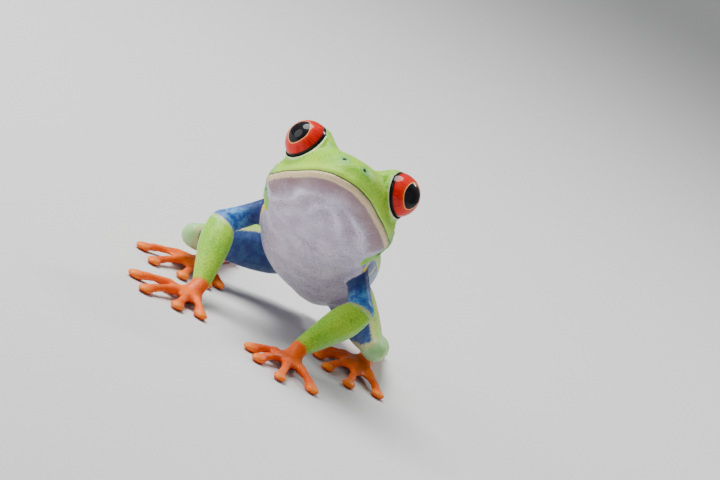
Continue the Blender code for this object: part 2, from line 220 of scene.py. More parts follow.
def distanceToLine(points, line):
    # distance of each point to a bent line, and how far along it the nearest place is, from 0 to 1
    line = np.array(line)
    lengths = lengthsOf(np.diff(line, axis=0))
    starts = np.concatenate(([0.0], np.cumsum(lengths)))
    best = np.full(len(points), np.inf)
    along = np.zeros(len(points))
    for k, (start, end) in enumerate(zip(line, line[1:])):
        run = end - start
        t = np.clip(((points - start) @ run) / (run @ run), 0, 1)
        gap = lengthsOf(points - (start + t[:, None] * run))
        nearer = gap < best
        best[nearer] = gap[nearer]
        along[nearer] = ((starts[k] + t * lengths[k]) / starts[-1])[nearer]
    return best, along


skinPlan = {
    "grow": 0.17,  # closes the cuts between the parts before they are fused
    "grain": 0.35,  # size of the fused skin's facets, in mm
    "relaxRounds": 18,
    "hollowRounds": 14,
    "hollow": (0.002, 0.012),  # how far a place lies below its neighbours, in mm, to be filled
    "body": (-16.5, -19.0),  # hollows are filled behind the head only, this far from the tip of the snout
    # webs that close the gap where the first two toes meet: x, y, half width and half height
    "webs": ((-11.75, 5.76, 0.95, 0.5), (12.46, 4.81, 0.6, 0.5)),
}

lidPlan = {
    "fill": 0.2,  # closes the sockets before the lids are cut, in mm
    "clear": 0.02,  # between the globe and the lids
    "edge": 86.5, "hood": 3.5,  # angle from the gaze to the lids' edge, and how much further on top
    "flare": ((0.0, 0.02), (-0.8, 0.2), (-2.5, 0.55), (-12.0, 1.0), (-50.0, 1.3)),
    "around": 128, "rings": 24, "back": 178,  # the cutter's facets, and the angle where it closes
    "sliver": 0.008,  # edges shorter than this are closed up
    # how high the skin may stand over the globe, in mm, by the distance behind the lids' edge
    "height": ((-3.0, 0.10), (-0.5, 0.14), (0.0, 0.22), (0.5, 0.5), (1.0, 1.15), (1.5, 2.2)),
    "drawn": (2.2, 1.3),  # skin higher over the globe than this isn't drawn in
    "rim": (0.1, 0.12, 0.3),  # the rim's height, place and half width
}


def fuseSkin():
    bm = openMeshes(*(nodes[name].data for name in fleshNames))
    bmesh.ops.remove_doubles(bm, verts=bm.verts, dist=1e-6)
    bm.normal_update()
    for vert in bm.verts:
        vert.co += vert.normal * skinPlan["grow"] * mm
    for side in sides:
        place = Matrix.Translation(eyeAt[side])
        radius = eyeRadius + lidPlan["fill"] * mm
        bmesh.ops.create_icosphere(bm, subdivisions=4, radius=radius, matrix=place)
    for x, y, wide, high in skinPlan["webs"]:
        place = Matrix.Translation(Vector((x, y, high)) * mm) @ Matrix.Diagonal((wide, wide, high, 1.0))
        bmesh.ops.create_icosphere(bm, subdivisions=3, radius=mm, matrix=place)
    skin = newObject("skin", meshFrom("skin", bm))
    remesh = skin.modifiers.new("fuse", "REMESH")
    remesh.mode = "VOXEL"
    remesh.voxel_size = skinPlan["grain"] * mm
    mesh = evaluated(skin)
    keepLargest(mesh)
    points = pointsOf(mesh) - normalsOf(mesh) * skinPlan["grow"] * mm
    setPoints(mesh, relax(points, edgesOf(mesh), skinPlan["relaxRounds"]))
    return skin


def keepLargest(mesh):
    # the skin without the closed hollows inside it
    bm = openMeshes(mesh)
    left, groups = set(bm.faces), []
    while left:
        group, queue = [], [left.pop()]
        while queue:
            face = queue.pop()
            group.append(face)
            near = {other for edge in face.edges for other in edge.link_faces} & left
            left -= near
            queue += near
        groups.append(group)
    groups.sort(key=len)
    for group in groups[:-1]:
        bmesh.ops.delete(bm, geom=group, context="FACES")
    bm.to_mesh(mesh)
    bm.free()


def fillHollows(mesh):
    # rounds the hollows where limbs leave the body and digits leave the palm; the face is left alone
    points = pointsOf(mesh)
    edges = edgesOf(mesh)
    body = ease(*skinPlan["body"], headPlace(points)[:, 1])
    for _ in range(skinPlan["hollowRounds"]):
        setPoints(mesh, points)
        move = meanOfNeighbours(points, edges) - points
        rise = np.einsum("ij,ij->i", move, normalsOf(mesh)) / mm
        share = ease(*skinPlan["hollow"], spread(rise, edges, 3)) * body
        points = points + move * (share * 0.8)[:, None]
    setPoints(mesh, points)


finePlan = {
    # how far from each of these the facets are halved, in mm
    "lids": 1.6, "lips": 0.9, "nostril": 1.2, "ear": 1.9, "creases": 0.8, "tips": 1.7,
}


def refineSkin(mesh):
    points = pointsOf(mesh)
    _, ahead, up = headPlace(points).T
    behind, over, _ = lidMeasures(points)
    fine = (over < finePlan["lids"]) & (behind < finePlan["lids"])
    inMouth = ahead > pose["mouthCorner"] - 1.0
    fine |= (np.abs(aboveMouth(ahead, up)) < finePlan["lips"]) & inMouth
    for name in ("nostril", "ear"):
        fine |= alongSkin(points, findPlaces(points, normalsOf(mesh), headMarks[name])) < finePlan[name]
    for name in ("corner", "crease", "underEye"):
        fine |= besideLine(points, name)[0] < finePlan["creases"]
    fine |= tipDistance(points) < finePlan["tips"]
    bm = openMeshes(mesh)
    edges = [e for e in bm.edges if fine[e.verts[0].index] and fine[e.verts[1].index]]
    bmesh.ops.subdivide_edges(bm, edges=edges, cuts=1, use_grid_fill=True)
    bmesh.ops.triangulate(bm, faces=[f for f in bm.faces if len(f.verts) > 4])
    bm.to_mesh(mesh)
    bm.free()


def lidEdge(turn):
    # angle from the gaze to the lids' edge; the upper lid comes further over the globe
    return lidPlan["edge"] - lidPlan["hood"] * np.clip(np.cos(turn), 0, 1) ** 2


def socketCutter(side):
    # a globe that flares open ahead of the lids' edge
    gaze, top, across = eyeAxes(side)
    bm = bmesh.new()
    rings = []
    for k in range(lidPlan["around"]):
        turn = 2 * pi * k / lidPlan["around"]
        edge = float(lidEdge(turn))
        profile = [(edge + shift, lift) for shift, lift in reversed(lidPlan["flare"])]
        for j in range(1, lidPlan["rings"] + 1):
            profile.append((edge + (lidPlan["back"] - edge) * j / lidPlan["rings"], lidPlan["clear"]))
        out = top * cos(turn) + across * sin(turn)
        ring = []
        for angle, lift in profile:
            ray = gaze * cos(radians(angle)) + out * sin(radians(angle))
            ring.append(bm.verts.new(eyeAt[side] + ray * (eyeRadius + lift * mm)))
        rings.append(ring)
    for here, there in zip(rings, rings[1:] + rings[:1]):
        for k in range(len(here) - 1):
            bm.faces.new((here[k], there[k], there[k + 1], here[k + 1]))
    bm.faces.new([ring[0] for ring in rings])
    bm.faces.new([ring[-1] for ring in reversed(rings)])
    bmesh.ops.recalc_face_normals(bm, faces=bm.faces)
    return newObject("socket", meshFrom("socket", bm))


def cutSockets(skin):
    for side in sides:
        cutter = socketCutter(side)
        cut = skin.modifiers.new("socket", "BOOLEAN")
        cut.operation = "DIFFERENCE"
        cut.solver = "EXACT"
        cut.object = cutter
        evaluated(skin)
        bpy.data.objects.remove(cutter)
    # clears the slivers that the cut leaves
    bm = openMeshes(skin.data)
    bmesh.ops.dissolve_degenerate(bm, dist=lidPlan["sliver"] * mm, edges=bm.edges)
    bmesh.ops.dissolve_verts(bm, verts=[v for v in bm.verts if len(v.link_edges) == 2])
    bmesh.ops.triangulate(bm, faces=[f for f in bm.faces if len(f.verts) > 4])
    bm.to_mesh(skin.data)
    bm.free()


def lidMeasures(points, most=9.0):
    # distance behind the lids' edge along the skin and height over the globe, in mm, at the nearer eye, and
    # the direction out from its middle
    behind = np.full(len(points), most)
    over = np.full(len(points), most)
    ray = np.zeros_like(points)
    for side in sides:
        gaze, top, across = (np.array(axis) for axis in eyeAxes(side))
        out = points - np.array(eyeAt[side])
        far = lengthsOf(out)
        angle = np.degrees(np.arccos(np.clip(out @ gaze / far, -1, 1)))
        turn = np.arctan2(out @ across, out @ top)
        near = far / mm < over + eyeRadius / mm
        over = np.where(near, (far - eyeRadius) / mm, over)
        behind = np.where(near, np.radians(angle - lidEdge(turn)) * far / mm, behind)
        ray = np.where(near[:, None], out / far[:, None], ray)
    return behind, over, ray


def hugGlobes(mesh):
    # draws the skin round the eyes in, so that the lids end thin and close to the globe
    points = pointsOf(mesh)
    edges = edgesOf(mesh)
    behind, over, ray = lidMeasures(points)
    places, heights = np.array(lidPlan["height"]).T
    pull = np.maximum(over - np.interp(behind, places, heights), 0.0) * ease(*lidPlan["drawn"], over)
    pull = np.maximum(spread(pull, edges, 10), pull * ease(1.0, 0.4, behind))
    normals = normalsOf(mesh)
    pull *= np.maximum(np.einsum("ij,ij->i", normals, ray), 0.0)
    near = ease(3.0, 2.0, behind) * ease(3.0, 2.0, over)
    setPoints(mesh, relax(points - normals * (pull * mm)[:, None], edges, 6, near))


def raiseLids(mesh):
    # a thin rim along the edge of the lids
    behind, over, _ = lidMeasures(pointsOf(mesh))
    pushSkin(mesh, relief(behind, [lidPlan["rim"]]) * ease(0.05, 0.3, over) * (over < 1.5))


headMarks = {
    # from the tip of the snout, in mm: outwards, ahead and up
    "nostril": (1.9, -1.0, 3.45),
    "ear": (10.6, -16.0, 1.5),
    # lines on the sides of the head: ahead and up
    "earFold": ((-13.9, 5.0), (-15.8, 4.5), (-17.9, 3.2), (-19.3, 0.6), (-20.2, -1.8)),
    "corner": ((-14.7, -0.45), (-15.4, -0.75), (-15.9, -1.4), (-15.8, -2.2)),
    "crease": ((-16.4, -1.2), (-18.0, -3.4), (-19.6, -5.0)),
    "underEye": ((-12.9, 2.3), (-13.9, 2.1), (-14.9, 2.4)),
}

headShape = {
    # each ridge's or groove's height, place and half width, in mm
    "lips": ((-0.22, 0.0, 0.17), (0.14, -0.55, 0.42), (0.10, 0.55, 0.5)),
    "nostril": ((-0.32, 0.0, 0.29), (0.05, 0.7, 0.4)),
    "neckFold": ((-0.4, -17.2, 0.5), (0.2, -16.1, 0.7)),
    "softFold": ((-0.28, -21.0, 0.55), (0.15, -20.0, 0.6)),
    "ear": ((0.12, 1.4, 0.22), (0.05, 0.0, 0.5)),
    "earFold": ((0.42, 0.0, 0.5), (-0.16, 0.95, 0.35)),
    "crease": ((-1.0, 0.0, 0.32), (0.4, 0.85, 0.4)),
    "depth": {"corner": 0.42, "crease": 0.3, "underEye": 0.2},
    "drum": 0.10,  # how deep the ear drum lies
}


def besideLine(points, name, most=4.0):
    # distance in side view to a line on both sides of the head, in mm, and how far along it
    left, ahead, up = headPlace(points).T
    gap, along = distanceToLine(np.stack([ahead, up]).T, headMarks[name])
    return np.where(np.abs(left) > 6.5, np.minimum(gap, most), most), along


def shapeHead(mesh):
    points = pointsOf(mesh)
    normals = normalsOf(mesh)
    left, ahead, up = headPlace(points).T
    inMouth = ease(pose["mouthCorner"] - 0.3, pose["mouthCorner"] + 0.8, ahead)
    nostrils, ears = (findPlaces(points, normals, headMarks[name]) for name in ("nostril", "ear"))
    push = relief(aboveMouth(ahead, up), headShape["lips"]) * inMouth
    push += relief(alongSkin(points, nostrils), headShape["nostril"])
    push += throatFolds(left, ahead, insideJaw(mesh)) * inMouth
    # the fold across the neck and the softer one behind it, clear of the hands
    beneath = ease(-3.0, -5.5, up) * ease(-17.0, -14.0, up)
    beneath *= 1 - ease(8.0, 10.5, np.abs(left))
    wave = 0.4 * np.sin(left * 0.7 + 0.6)
    push += beneath * relief(ahead + wave, headShape["neckFold"])
    push += beneath * relief(ahead - wave, headShape["softFold"])
    # ear drum and the fold of skin over it, down to the shoulder
    ear = alongSkin(points, ears)
    push += relief(ear, headShape["ear"]) - headShape["drum"] * (1 - ease(0.9, 1.35, ear))
    fold, along = besideLine(points, "earFold")
    push += relief(fold, headShape["earFold"]) * ease(0.0, 0.2, along)
    for name, depth in headShape["depth"].items():
        push += depth * relief(besideLine(points, name)[0], headShape["crease"])
    pushSkin(mesh, push)
    return nostrils, ears


def insideJaw(mesh, most=9.0):
    # distance in from the lips across the throat, in mm; 0 above the mouth
    points = pointsOf(mesh)
    _, ahead, up = headPlace(points).T
    mouth = aboveMouth(ahead, up)
    lips = points[(np.abs(mouth) < 0.12) & (ahead > pose["mouthCorner"])]
    tree = KDTree(len(lips))
    for k, lip in enumerate(lips):
        tree.insert(lip, k)
    tree.balance()
    inward = np.where(mouth < 0, most, 0.0)
    for k in np.nonzero((mouth < 0) & (ahead > pose["mouthCorner"] - 6))[0]:
        inward[k] = min(tree.find(points[k])[2] / mm, most)
    return spread(inward, edgesOf(mesh), 3)


throatPlan = {
    # each fold's height, distance from the lips and half width, in mm
    "folds": ((-0.24, 2.4, 0.7), (0.42, 3.9, 0.55), (-0.38, 5.1, 0.65), (0.30, 6.6, 0.75), (-0.14, 8.0, 0.6)),
    "start": (-3.5, -8.0),  # the chin is smooth: the folds begin and are full this far behind it
}


def throatFolds(left, ahead, inward):
    # long soft folds that follow the jaw across the throat
    sway = 0.5 * np.sin(ahead * 0.42 + 0.4) + 0.25 * np.sin(ahead * 0.95 + left * 0.2)
    fade = ease(*throatPlan["start"], ahead) * (0.7 + 0.3 * np.sin(ahead * 0.6 + left * 0.15))
    return relief(inward - sway, throatPlan["folds"]) * fade


def findPlaces(points, normals, place):
    # the points of the skin nearest to a place on either side of the head, and which way the skin faces there
    found = []
    for sign in (1, -1):
        target = np.array(onHead(place[0] * sign, *place[1:]))
        centre = points[np.argmin(lengthsOf(points - target))]
        out = normals[lengthsOf(points - centre) < 1.2 * mm].mean(axis=0)
        found.append((centre, out / np.linalg.norm(out)))
    return found


def alongSkin(points, places, most=4.0):
    # distance along the skin to the nearer place, in mm
    nearest = np.full(len(points), most)
    for centre, out in places:
        away = (points - centre) / mm
        along = lengthsOf(away - np.outer(away @ out, out))
        near = lengthsOf(away) < most
        nearest = np.where(near, np.minimum(nearest, along), nearest)
    return nearest


digitPlan = {
    # each limb's end piece and the piece it hangs on
    "limbs": (("hand_left", "forearm_left"), ("hand_right", "forearm_right"),
              ("foot_left", "tarsus_left"), ("foot_right", "tarsus_right")),
    "apart": 2.0, "shortest": 4.0,  # the least distance between two tips, and from the wrist to a tip
    "joints": (2.5, 2.9, 4.6, 5.0),  # where the skin creases, measured from the tip
    "crease": (-0.06, 0.2),  # height and half width
    "groove": (-0.05, 0.42, 0.16),  # round each disc: height, distance from the floor and half width
    "disc": (1.5, 1.1),  # the groove fades out this far from the tip
}


def digitTips():
    # the far end of every finger and toe: the places with nothing further from the wrist close by
    tips = []
    for name, limb in digitPlan["limbs"]:
        points = pointsOf(nodes[name].data) / mm
        towards = np.array(middleOf(limb)) / mm
        wrist = points[np.argmin(lengthsOf(points - towards))]
        far = lengthsOf(points - wrist)
        own = []
        for k in np.argsort(-far):
            around = lengthsOf(points - points[k]) < digitPlan["apart"]
            if far[k] > digitPlan["shortest"] and far[k] >= far[around].max():
                if all(np.linalg.norm(points[k] - tip) > digitPlan["apart"] for tip in own):
                    own.append(points[k])
        print(name, len(own), "digits")
        tips += own
    return np.array(tips)


fingerTips = digitTips()


def tipDistance(points, most=9.0):
    # distance to the nearest finger's or toe's tip, in mm
    nearest = np.full(len(points), most)
    for tip in fingerTips:
        nearest = np.minimum(nearest, lengthsOf(points / mm - tip))
    return nearest


def shapeDigits(mesh):
    # creases over the joints and the groove round each disc
    points = pointsOf(mesh)
    far = tipDistance(points)
    height, width = digitPlan["crease"]
    push = relief(far, [(height, joint, width) for joint in digitPlan["joints"]])
    push += ease(*digitPlan["disc"], far) * relief(points[:, 2] / mm, [digitPlan["groove"]])
    pushSkin(mesh, push)


jointPlan = {
    "pairs": (("upper_arm", "forearm"), ("thigh", "shank"), ("shank", "tarsus")),
    "folds": ((-2.1, 0.08), (-0.8, 0.15), (0.5, 0.15), (1.8, 0.1)),  # across the joint, in mm, and how deep
    "width": 0.3,
    "meet": 0.8,  # the two parts meet where they are closer than this
    "reach": 4.5,
}


def shapeJoints(mesh):
    # creases in the hollow of each elbow, knee and heel
    points = pointsOf(mesh)
    normals = normalsOf(mesh)
    push = np.zeros(len(points))
    for pair in jointPlan["pairs"]:
        for side in sides:
            names = [name + "_" + side for name in pair]
            trees = [treeOf(name) for name in names]
            first = pointsOf(nodes[names[0]].data)
            touching = [trees[1].find_nearest(p)[3] < jointPlan["meet"] * mm for p in first]
            meeting = first[touching].mean(axis=0)
            hollow = (np.array(middleOf(names[0])) + np.array(middleOf(names[1]))) / 2 - meeting
            hollow /= np.linalg.norm(hollow)
            close = np.nonzero(lengthsOf(points - meeting) < jointPlan["reach"] * mm)[0]
            gaps = np.array([[tree.find_nearest(points[k])[3] for tree in trees] for k in close]) / mm
            inside = ease(0.0, 0.7, normals[close] @ hollow)
            wave = 0.25 * np.sin(points[close, 0] / mm * 1.7 + points[close, 2] / mm * 1.3)
            across = gaps[:, 0] - gaps[:, 1] - wave
            folds = [(-depth, place, jointPlan["width"]) for place, depth in jointPlan["folds"]]
            push[close] += inside * relief(across, folds)
    pushSkin(mesh, push)


def settleOnFloor(mesh):
    points = pointsOf(mesh)
    points[:, 2] = np.maximum(points[:, 2], 0.0)
    setPoints(mesh, points)


def nearestParts(points):
    # distance from each point of the skin to each group of parts, in mm
    groups = {"head": ("head", "lower_jaw"), "trunk": ("trunk",)}
    for group in ("upper_arm", "forearm", "hand", "thigh", "shank", "tarsus", "foot"):
        groups[group] = [group + "_" + side for side in sides]
    result = {}
    for group, names in groups.items():
        tree = treeOf(*names)
        result[group] = np.array([min(tree.find_nearest(p)[3], 20 * mm) for p in points]) / mm
    return result


def trunkMeasures(points, cuts=26):
    # across (-1 to 1) and height (-1 to 1) of each point in the trunk's section at its place
    trunk = np.concatenate([pointsOf(nodes[n].data) for n in ("trunk", "head", "lower_jaw")])
    stations = np.linspace(trunk[:, 1].min(), trunk[:, 1].max(), cuts)
    rows = []
    for low, high in zip(stations, stations[2:]):
        part = trunk[(trunk[:, 1] >= low) & (trunk[:, 1] <= high)]
        ends = (part[:, 0].min(), part[:, 0].max(), part[:, 2].min(), part[:, 2].max())
        rows.append(((low + high) / 2, *ends))
    rows = np.array(rows)
    x0, x1, z0, z1 = (np.interp(points[:, 1], rows[:, 0], rows[:, k]) for k in (1, 2, 3, 4))
    across = (points[:, 0] - (x0 + x1) / 2) / ((x1 - x0) / 2)
    height = (points[:, 2] - (z0 + z1) / 2) / ((z1 - z0) / 2)
    return across, height


markPlan = {
    "neckDrop": 3.6,  # how far below the mouth line the green reaches on the neck, in mm
    "chestDrop": -0.40,  # edge of the pale underside, as a share of the body's half height
    "flankDrop": -0.30,
    "flankTop": 0.14, "flankFoot": -0.62,  # the blue flank, as shares of the half height
    "flankInner": 0.35,  # and of the half width
    "flankStart": -20.5,  # the blue flank begins behind this
    "halfHeight": 8.0, "halfWidth": 10.0,  # of the body, about, in mm
    "thighTop": 0.75,  # how far up a place on the thigh may face and still be blue
    "thighEnd": 1.8,  # the thigh's blue ends this far from the shank
}


def paleUnderside(ahead, mouth, height, onBody, edges):
    # below the mouth line on the head, below the flanks on the trunk
    corner = pose["mouthCorner"]
    onHeadPale = -mouth - markPlan["neckDrop"] * ease(corner + 1.2, corner - 0.2, ahead)
    chest, flank = markPlan["chestDrop"], markPlan["flankDrop"]
    drop = chest + (flank - chest) * ease(-22.0, -32.0, ahead)
    onTrunkPale = (drop - height) * markPlan["halfHeight"]
    trunkShare = ease(-19.0, -23.0, ahead)
    pale = np.clip((1 - trunkShare) * onHeadPale + trunkShare * onTrunkPale, -5, 5)
    soft = ease(corner + 1.8, corner + 0.9, ahead)
    pale += (spread(pale, edges, 14) - pale) * soft
    return np.minimum(pale, onBody + 0.3)


def blueFlank(ahead, across, height, onBody):
    # the yellow bars lie here too
    above = (markPlan["flankTop"] - height) * markPlan["halfHeight"]
    below = (height - markPlan["flankFoot"]) * markPlan["halfHeight"]
    outer = (np.abs(across) - markPlan["flankInner"]) * markPlan["halfWidth"]
    return np.minimum.reduce([above, below, outer, markPlan["flankStart"] - ahead, onBody + 0.6])


def markSkin(mesh, nostrils, ears):
    # numbers the skin's colours are read from; most are distances in mm, positive inside the mark
    points = pointsOf(mesh)
    normals = normalsOf(mesh)
    edges = edgesOf(mesh)
    left, ahead, up = headPlace(points).T
    part = nearestParts(points)
    across, height = trunkMeasures(points)
    mouth = aboveMouth(ahead, up)
    inward = insideJaw(mesh)

    def nearer(*groups):
        # positive, in mm, where one of these groups is the nearest
        mine = np.minimum.reduce([part[g] for g in groups])
        others = np.minimum.reduce([part[g] for g in part if g not in groups])
        return np.clip(others - mine, -6, 6)

    def add(name, values, rounds=0):
        addNumber(mesh, name, spread(values, edges, rounds))

    onBody = nearer("head", "trunk")
    lipEnd = pose["mouthCorner"] + 0.9 * ease(-0.1, -0.5, mouth)
    inMouth = ease(lipEnd - 0.2, lipEnd + 0.5, ahead)
    # the mouth line's painted shade is read from this too
    add("lip", np.clip(mouth, -8, 8))
    add("jaw", inMouth * ease(-0.6, 0.6, onBody))
    add("inward", inward)
    # the folds' hollows get painted shade and their tops painted highlight
    add("fold", throatFolds(left, ahead, inward) * inMouth)

    pale = paleUnderside(ahead, mouth, height, onBody, edges)
    add("pale", pale, 2)
    add("granular", ease(0.4, 1.6, pale) * ease(1.8, 5.0, inward + 9.0 * (mouth > 0)))

    flank = blueFlank(ahead, across, height, onBody)
    thigh = (markPlan["thighTop"] - normals[:, 2]) * 3.0
    thigh = np.minimum.reduce([nearer("thigh"), thigh, (part["shank"] - markPlan["thighEnd"]) * 0.6])
    blue = np.maximum.reduce([flank, nearer("upper_arm") + 0.1, thigh])
    add("blue", np.clip(blue, -5, 5), 8)
    add("flank", np.clip(flank, -5, 5), 4)
    add("thigh", nearer("thigh"), 6)
    add("elbow", np.where(nearer("forearm") > -0.3, np.minimum(part["upper_arm"], 8.0), 8.0), 4)
    add("knee", np.minimum(part["thigh"] + part["shank"], 8.0))
    add("orange", nearer("hand", "foot", "tarsus"), 6)
    add("limb", nearer("forearm", "thigh", "shank"), 6)
    # distance into the armpit, for its painted shade
    add("armpit", np.hypot(part["trunk"], part["upper_arm"] * 1.7), 4)
    add("tip", tipDistance(points))
    # the orange parts get painted shade where they face the floor
    add("under", -normals[:, 2], 6)  # how much a place faces the floor

    # read for the painted shade in and beside the nostrils
    add("nostril", alongSkin(points, nostrils))
    add("ear", alongSkin(points, ears))
    # the mouth corners and the places under the eyes get painted shade
    for name in ("corner", "underEye"):
        add(name, besideLine(points, name)[0])


def plug(tree, socket, value):
    if isinstance(value, bpy.types.NodeSocket):
        tree.links.new(value, socket)
    else:
        socket.default_value = value


def addNode(tree, kind, inputs=(), **settings):
    node = tree.nodes.new(kind)
    for key, value in settings.items():
        setattr(node, key, value)
    for key, value in dict(inputs).items():
        plug(tree, node.inputs[key], value)
    return node.outputs


class Shader:
    # a short way to write a node material, with its colours called by name
    def __init__(self, name, colours):
        self.colours = colours
        self.material = bpy.data.materials.new(name)
        self.material.use_nodes = True
        self.tree = self.material.node_tree
        self.surface = self.tree.nodes["Principled BSDF"]

    def node(self, kind, inputs=(), output=0, **settings):
        return addNode(self.tree, "ShaderNode" + kind, inputs, **settings)[output]

    def number(self, name):
        return self.node("Attribute", output="Fac", attribute_name=name)

    def place(self):
        return self.node("TexCoord", output="Object")

    def vector(self, operation, a, b=(0.0, 0.0, 0.0), output="Vector"):
        return self.node("VectorMath", {0: a, 1: b}, operation=operation, output=output)

    def math(self, operation, a, b=0.0, c=0.0):
        return self.node("Math", {0: a, 1: b, 2: c}, operation=operation)

    def plus(self, a, b):
        return self.math("ADD", a, b)

    def minus(self, a, b):
        return self.math("SUBTRACT", a, b)

    def times(self, a, b):
        return self.math("MULTIPLY", a, b)

    def awayFrom(self, value, middle):
        return self.math("ABSOLUTE", self.minus(value, middle))

    def ramp(self, value, low, high, most=1.0, least=0.0):
        # the most where the value is high, the least where it is low
        inputs = {"Value": value, "From Min": low, "From Max": high, "To Min": least, "To Max": most}
        return self.node("MapRange", inputs, interpolation_type="SMOOTHSTEP")

    def mix(self, share, a, b):
        a, b = ((*self.colours[colour], 1.0) if isinstance(colour, str) else colour for colour in (a, b))
        return self.node("Mix", {0: share, 6: a, 7: b}, output=2, data_type="RGBA")

    def tint(self, base, *layers):
        # lays colours over the base, each with what its ramp needs
        for colour, *share in layers:
            base = self.mix(self.ramp(*share), base, colour)
        return base

    def noise(self, scale, detail=3.0, rough=0.5, place=None):
        inputs = {"Vector": place or self.place(), "Scale": scale, "Detail": detail, "Roughness": rough}
        return self.node("TexNoise", inputs)

    def cells(self, scale, feature="F1"):
        inputs = {"Vector": self.place(), "Scale": scale}
        return self.node("TexVoronoi", inputs, output="Distance", feature=feature)

    def bump(self, height, depth, strength):
        inputs = {"Height": height, "Distance": depth, "Strength": strength}
        return self.node("Bump", inputs, output="Normal")

    def set(self, **values):
        for key, value in values.items():
            plug(self.tree, self.surface.inputs[key.replace("_", " ")], value)
        return self.material


skinColours = {
    # the deep green is also painted shade, in the pits between the pebbles and under the eyes
    "green": (0.29, 0.66, 0.035), "greenDeepAndShade": (0.09, 0.36, 0.010), "greenYellow": (0.50, 0.76, 0.030),
    # the pale green is also a painted highlight on the pebbles
    "greenPaleAndHighlight": (0.52, 0.90, 0.07), "nostrilShadowTeal": (0.03, 0.32, 0.12), "mint": (0.42, 0.70, 0.40),
    # the teal above is painted shadow beside the nostrils
    "seaGreen": (0.14, 0.46, 0.20),
    # the light throat colour is also a painted highlight on the throat's pebbles and fold tops, and the mauve
    # is also painted shade in the folds' hollows
    "throat": (0.46, 0.40, 0.58), "throatPaleAndHighlight": (0.84, 0.80, 0.94), "mauveAndShade": (0.25, 0.13, 0.13),
    # the mouth line colour is painted shade in the mouth, its corners and the nostrils, and also the colour
    # of the throat's own dark specks
    "cream": (0.74, 0.58, 0.34), "shadeAndSpeckDark": (0.02, 0.03, 0.01),
    # the deep blue is painted shade in the armpits
    "blue": (0.015, 0.09, 0.40), "armpitShadeBlue": (0.012, 0.018, 0.12), "blueBright": (0.10, 0.38, 0.66),
    "slate": (0.05, 0.07, 0.22), "violet": (0.16, 0.10, 0.42), "yellow": (0.85, 0.60, 0.03),
    # the deep orange is also painted shade under the hands, feet and tarsi and in the digits' joint creases
    "orange": (1.0, 0.15, 0.002), "orangeDeepAndShade": (0.42, 0.012, 0.002), "orangePale": (1.0, 0.26, 0.01),
    "rim": (0.66, 0.84, 0.38), "lidInside": (0.010, 0.008, 0.014), "white": (0.9, 0.92, 0.86),
}

skinPattern = {
    # how fine each pattern is: repeats in a metre
    "broad": 260.0, "fine": 1400.0, "grit": 5200.0, "patches": 620.0, "pebbles": 2700.0,
    "blueClouds": 900.0, "violetClouds": 350.0, "throatClouds": 300.0, "specks": 430.0,
    "bars": 1250.0,  # radians in a metre
}


def greenShade(s, broad, wander):
    p = skinPattern
    green = s.tint(
        "green", ("greenYellow", broad, 0.40, 0.62, 0.6),
        ("greenDeepAndShade", s.noise(p["patches"], 4.0, 0.65), 0.54, 0.70, 0.42),
        # pale pebble centres are painted highlights, and the dark pebble edges painted shade in the pits
        # between them
        ("greenPaleAndHighlight", s.cells(p["pebbles"]), 0.46, 0.1, 0.62),
        ("greenDeepAndShade", s.cells(p["pebbles"], "DISTANCE_TO_EDGE"), 0.14, 0.0, 0.5),
    )
    upperLip = s.times(s.ramp(s.number("lip"), 2.6, 0.5, 0.7), s.number("jaw"))
    green = s.mix(upperLip, green, "greenPaleAndHighlight")
    # the limbs are paler underneath, and so are the elbows and knees
    under = s.plus(s.number("under"), s.times(wander, 0.3))
    limb = s.times(s.ramp(under, -0.05, 0.55, 0.6), s.ramp(s.number("limb"), -0.5, 0.5))
    return s.tint(
        s.mix(limb, green, "mint"), ("white", s.plus(s.number("elbow"), wander), 1.3, 0.3, 0.75),
        ("mint", s.number("knee"), 2.6, 0.8, 0.65), ("seaGreen", s.number("corner"), 3.4, 0.8, 0.6),
    )


def blueShade(s, broad, wander):
    p = skinPattern
    blue = s.tint(
        "blue", ("blueBright", s.noise(p["blueClouds"], 4.0, 0.6), 0.38, 0.66),
        ("violet", s.noise(p["violetClouds"], 2.0), 0.55, 0.75, 0.4),
        # painted shade in the armpits
        ("armpitShadeBlue", s.plus(s.number("armpit"), s.times(wander, 2.0)), 4.6, 1.6, 0.88),
        ("slate", s.number("thigh"), -0.4, 0.6, 0.75),
    )
    along = s.node("SeparateXYZ", {0: s.place()}, output="Y")
    bars = s.math("SINE", s.math("MULTIPLY_ADD", along, p["bars"], s.times(broad, 6.0)))
    return s.mix(s.times(s.ramp(bars, 0.72, 0.86), s.ramp(s.number("flank"), 0.15, 0.5)), blue, "yellow")


def throatShade(s, broad, wander):
    p = skinPattern
    jaw, inward, fold = (s.number(name) for name in ("jaw", "inward", "fold"))
    throat = s.tint(
        "throat", ("throatPaleAndHighlight", s.noise(p["throatClouds"], 4.0, 0.6), 0.35, 0.66, 0.5, 0.1),
        # pale pebble centres are painted highlights
        ("throatPaleAndHighlight", s.cells(p["pebbles"]), 0.5, 0.05, 0.45),
    )
    band = s.plus(inward, s.math("MULTIPLY_ADD", broad, 3.0, -1.5))
    throat = s.tint(
        s.mix(s.times(s.ramp(band, 4.8, 1.2, 0.84), jaw), throat, "mauveAndShade"),
        # painted shade in the folds' hollows and painted highlight along their tops
        ("mauveAndShade", fold, -0.01, -0.2, 0.3), ("throatPaleAndHighlight", fold, 0.04, 0.28, 0.65),
        ("shadeAndSpeckDark", s.cells(p["specks"]), 0.06, 0.045, 0.8),
    )
    edge = s.plus(inward, s.times(wander, 0.35))
    return s.mix(s.times(s.ramp(edge, 1.25, 0.95), jaw), throat, "cream")


